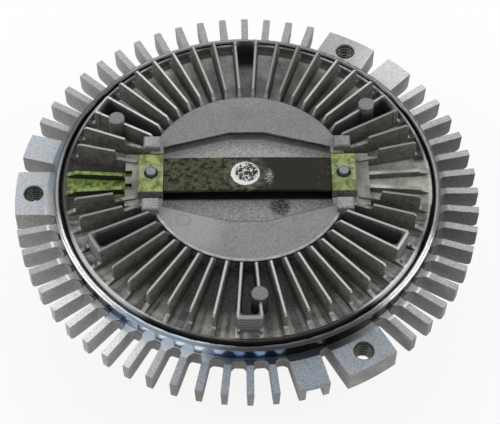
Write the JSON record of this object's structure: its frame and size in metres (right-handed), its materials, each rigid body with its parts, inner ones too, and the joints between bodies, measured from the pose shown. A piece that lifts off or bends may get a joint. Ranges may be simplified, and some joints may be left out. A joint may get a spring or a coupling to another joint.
{
  "type": "viscous fan clutch",
  "caption": "Finned aluminium viscous fan clutch with a bimetal strip in front, tapped fan bosses on its rim and a flanged drive hub behind.",
  "frame": {"origin": "on the axis, at the rear mounting face of the drive hub", "axes": "+Z along the axis to the front face with the strip; +X along the strip, away from the fan boss at its left end"},
  "size_m": [0.18, 0.18, 0.0613],
  "materials": {
    "housing_casting": "blasted die casting, polished rim",
    "cover_casting": "raw die casting, darkened in its channels",
    "black_rubber": "matte",
    "bimetal": "dark mottled",
    "plated_sheet": "yellow-green passivated plating",
    "turned_steel": "turned",
    "pressed_steel": "rolled sheet",
    "spring_steel": "phosphated",
    "wiper_plastic": "moulded",
    "rotor_aluminium": "turned",
    "bearing_steel": "ground",
    "cage_brass": "turned"
  },
  "bodies": {
    "drive": {"drive_hub": "turned_steel", "rotor": "rotor_aluminium", "rotor_retaining_ring": "spring_steel", "bearing_inner_ring": "bearing_steel"},
    "housing": {"rear_housing": "housing_casting", "front_cover": "cover_casting", "cover_seal": "black_rubber", "bimetal_strip": "bimetal", "left_strip_clip": "plated_sheet", "right_strip_clip": "plated_sheet", "separator_plate": "pressed_steel", "lever_rivets": "turned_steel", "pump_wiper": "wiper_plastic", "bearing_outer_ring": "bearing_steel", "bearing_front_shield": "black_rubber", "bearing_rear_shield": "black_rubber", "bearing_retaining_ring": "spring_steel"},
    "ball_set": {"bearing_cage": "cage_brass", "bearing_balls": "bearing_steel"},
    "pin": {"control_pin": "turned_steel", "pin_seal": "black_rubber"},
    "leaf": {"valve_lever": "spring_steel"}
  },
  "joints": [
    {"name": "housing_spin", "type": "hinge", "parent": "drive", "child": "housing", "pos_m": [0, 0, 0.026], "axis": [0, 0, 1], "continuous": true},
    {"name": "ball_set_spin", "type": "hinge", "parent": "drive", "child": "ball_set", "pos_m": [0, 0, 0.026], "axis": [0, 0, 1], "continuous": true},
    {"name": "pin_slide", "type": "slide", "parent": "housing", "child": "pin", "axis": [0, 0, 1], "range_m": [0, 0.0012], "deforming": ["bimetal_strip"]},
    {"name": "leaf_lift", "type": "hinge", "parent": "housing", "child": "leaf", "pos_m": [0, -0.02, 0.04455], "axis": [1, 0, 0], "range_deg": [0, 3.2]}
  ],
  "couplings": [
    {"joint": "ball_set_spin", "follows": "housing_spin", "ratio": 0.6164},
    {"joint": "leaf_lift", "follows": "pin_slide", "rad_per_m": 46}
  ]
}
